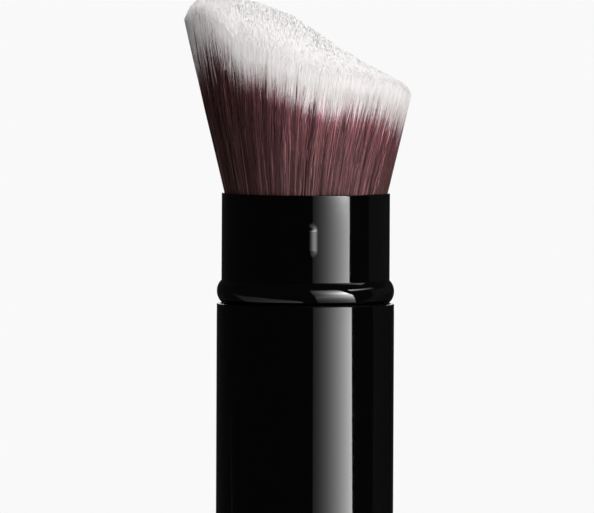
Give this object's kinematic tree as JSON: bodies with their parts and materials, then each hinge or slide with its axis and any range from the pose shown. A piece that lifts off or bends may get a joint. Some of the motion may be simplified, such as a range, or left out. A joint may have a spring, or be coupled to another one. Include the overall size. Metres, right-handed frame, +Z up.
{
  "type": "retractable foundation brush",
  "caption": "Twist-up make-up brush: a wide, slanted cone of soft bristles that a turn of the collar draws into a glossy cylindrical case.",
  "frame": {"origin": "centre of the flat underside of the case, on the axis that the collar turns about", "axes": "+Z up along the case towards the bristles, -Y towards the front with its grip rib, +X to the right, where the slanted head is lower"},
  "size_m": [0.0326, 0.0321, 0.0988],
  "materials": {
    "black_lacquer": "high-gloss black lacquer",
    "black_plastic": "satin black moulded plastic",
    "natural_plastic": "milky moulded plastic",
    "plated_steel": "dull zinc-plated steel",
    "spring_steel": "dark spring steel",
    "washer_plastic": "white low-friction plastic",
    "rubber": "matt black rubber",
    "satin_aluminium": "satin aluminium",
    "resin": "amber cast resin",
    "fibre": "soft synthetic bristles, burgundy with white tips"
  },
  "bodies": {
    "base": {"body_shell": "black_lacquer", "base_cap": "black_lacquer", "base_weight": "plated_steel", "inner_base": "black_plastic", "spiral_sleeve": "natural_plastic"},
    "collar": {"collar_shell": "black_lacquer", "bead_ring": "black_lacquer", "collar_liner": "black_plastic", "guide_tube": "natural_plastic", "retaining_ring": "spring_steel", "thrust_washer": "washer_plastic", "glide_washer": "washer_plastic", "torque_ring_upper": "rubber", "torque_ring_lower": "rubber"},
    "carrier": {"carrier_cup": "natural_plastic", "lug_pin_a": "plated_steel", "lug_pin_b": "plated_steel", "ferrule": "satin_aluminium", "root_plug": "resin", "bristles": "fibre"}
  },
  "joints": [
    {"name": "collar_twist", "type": "hinge", "parent": "base", "child": "collar", "pos_m": [0, 0, 0.05397], "axis": [0, 0, 1], "range_deg": [-330, 0]},
    {"name": "carrier_slide", "type": "slide", "parent": "collar", "child": "carrier", "axis": [0, 0, 1], "range_m": [-0.0295, 0], "deforming": ["bristles"]}
  ],
  "couplings": [
    {"joint": "carrier_slide", "follows": "collar_twist", "m_per_rad": 0.0051219}
  ]
}
